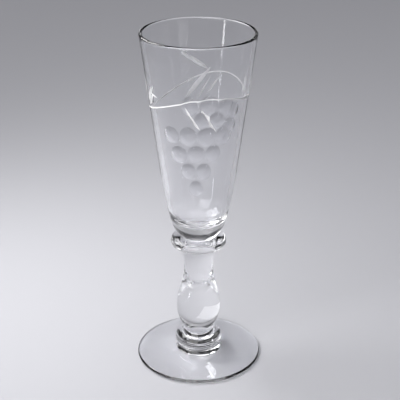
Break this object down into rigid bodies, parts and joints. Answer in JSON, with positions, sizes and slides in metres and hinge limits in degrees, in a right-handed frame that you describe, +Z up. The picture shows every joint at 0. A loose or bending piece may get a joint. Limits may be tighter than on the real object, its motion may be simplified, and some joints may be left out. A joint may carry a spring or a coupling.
{
  "type": "cordial glass",
  "caption": "Tall conical stemmed glass with a collar, baluster stem, knop and round foot, the bowl cut with a bunch of grapes, leaves and a vine line.",
  "frame": {"origin": "centre of the ring under the foot on which the glass rests", "axes": "+Z up along the glass's own axis, -Y towards the side with the cut bunch of grapes, +X to the right of that side"},
  "size_m": [0.0526, 0.0526, 0.1425],
  "materials": {
    "cut_glass": "clear, with polished grape cuts and frosted strokes",
    "clear_glass": "clear, fire polished"
  },
  "bodies": {
    "root": {"bowl": "cut_glass", "collar": "clear_glass", "stem": "clear_glass", "knop": "clear_glass", "foot": "clear_glass"}
  },
  "joints": []
}
